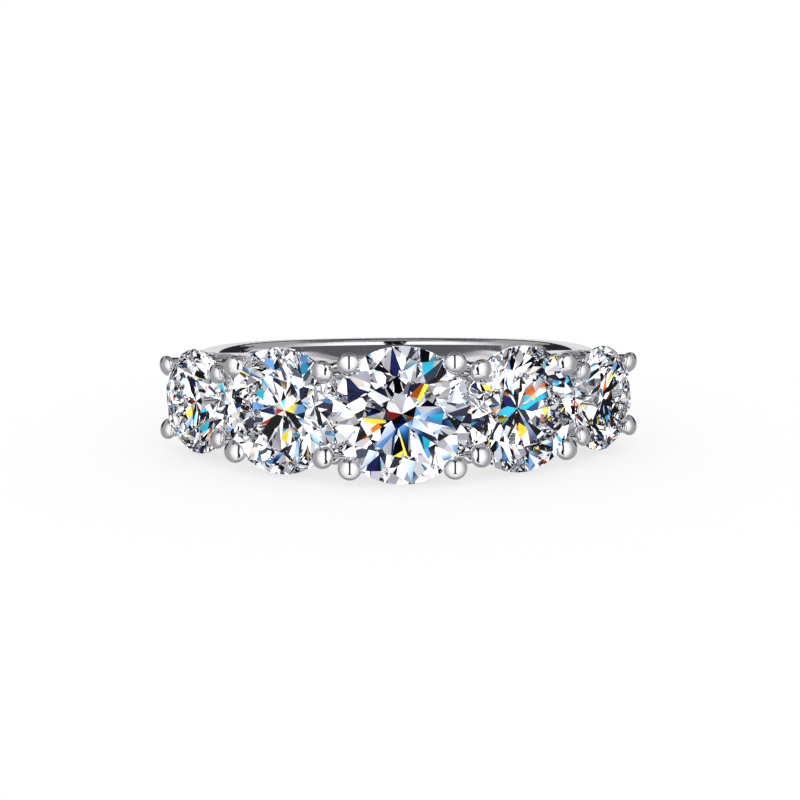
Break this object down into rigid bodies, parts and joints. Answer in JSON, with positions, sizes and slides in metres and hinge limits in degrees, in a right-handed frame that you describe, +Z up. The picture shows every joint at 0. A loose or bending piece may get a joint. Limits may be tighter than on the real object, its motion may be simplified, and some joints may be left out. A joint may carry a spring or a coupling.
{
  "type": "ring with five moissanite stones",
  "caption": "Plain white metal finger ring with a graduated row of round brilliant stones, each held by four ball-tipped prongs, lying on its side.",
  "frame": {"origin": "on the surface that the ring lies on, under the middle of its box", "axes": "+Z up, -Y towards the row of stones; the finger axis leans 5.72 degrees from +Z towards +Y"},
  "size_m": [0.023, 0.0236, 0.0065],
  "materials": {
    "white_metal": "high polish, rhodium plated silver",
    "moissanite": "polished facets, colourless, strong fire"
  },
  "bodies": {
    "root": {"ring_setting": "white_metal", "stone_centre": "moissanite", "stone_second_left": "moissanite", "stone_second_right": "moissanite", "stone_outer_left": "moissanite", "stone_outer_right": "moissanite"}
  },
  "joints": []
}
